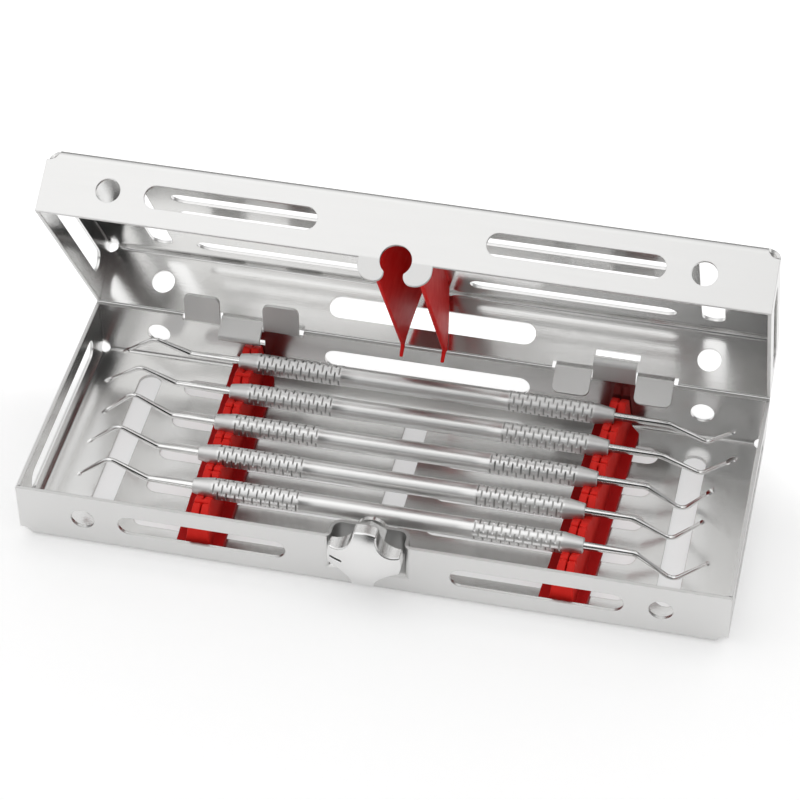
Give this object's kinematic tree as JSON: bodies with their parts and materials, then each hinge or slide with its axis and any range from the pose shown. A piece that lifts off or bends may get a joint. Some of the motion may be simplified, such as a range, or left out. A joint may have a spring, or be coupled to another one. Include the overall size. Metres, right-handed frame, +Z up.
{
  "type": "dental instrument cassette",
  "caption": "Slotted steel sterilising cassette with a hooked hinged lid, a clamp knob, red silicone racks and double-ended hand instruments lying in them.",
  "frame": {"origin": "middle of the bounding box on the surface that the base stands on, with the lid standing open", "axes": "+X along the cassette to the right seen from the knob side, -Y towards the knob, +Z up"},
  "size_m": [0.1812, 0.0914, 0.0862],
  "materials": {
    "tray_steel": "satin outside, polished inside",
    "turned_steel": "turned and polished",
    "knob_steel": "polished",
    "handle_steel": "satin",
    "end_steel": "polished",
    "red_silicone": "matte"
  },
  "bodies": {
    "base": {"base_tray": "tray_steel", "left_rack": "red_silicone", "right_rack": "red_silicone", "clamp_stud": "turned_steel", "retaining_disc": "turned_steel", "hex_spacer": "turned_steel", "instrument_1_handle": "handle_steel", "instrument_1_left_end": "end_steel", "instrument_1_right_end": "end_steel", "instrument_2_handle": "handle_steel", "instrument_2_left_end": "end_steel", "instrument_2_right_end": "end_steel", "instrument_3_handle": "handle_steel", "instrument_3_left_end": "end_steel", "instrument_3_right_end": "end_steel", "instrument_4_handle": "handle_steel", "instrument_4_left_end": "end_steel", "instrument_4_right_end": "end_steel", "instrument_5_handle": "handle_steel", "instrument_5_left_end": "end_steel", "instrument_5_right_end": "end_steel"},
    "lid": {"lid_tray": "tray_steel", "press_bar": "red_silicone"},
    "clamp": {"clamp_washer": "turned_steel"},
    "knob": {"knob": "knob_steel"}
  },
  "joints": [
    {"name": "lid_hinge", "type": "hinge", "parent": "base", "child": "lid", "pos_m": [0, 0.03192, 0.0168], "axis": [-1, 0, 0], "range_deg": [-59.6, 50.4]},
    {"name": "clamp_slide", "type": "slide", "parent": "base", "child": "clamp", "axis": [0, -1, 0], "range_m": [0, 0.0014]},
    {"name": "knob_turn", "type": "hinge", "parent": "clamp", "child": "knob", "pos_m": [0, -0.042, 0.0142], "axis": [0, -1, 0], "range_deg": [0, 720]}
  ],
  "couplings": [
    {"joint": "clamp_slide", "follows": "knob_turn", "m_per_rad": 0.00011141}
  ]
}
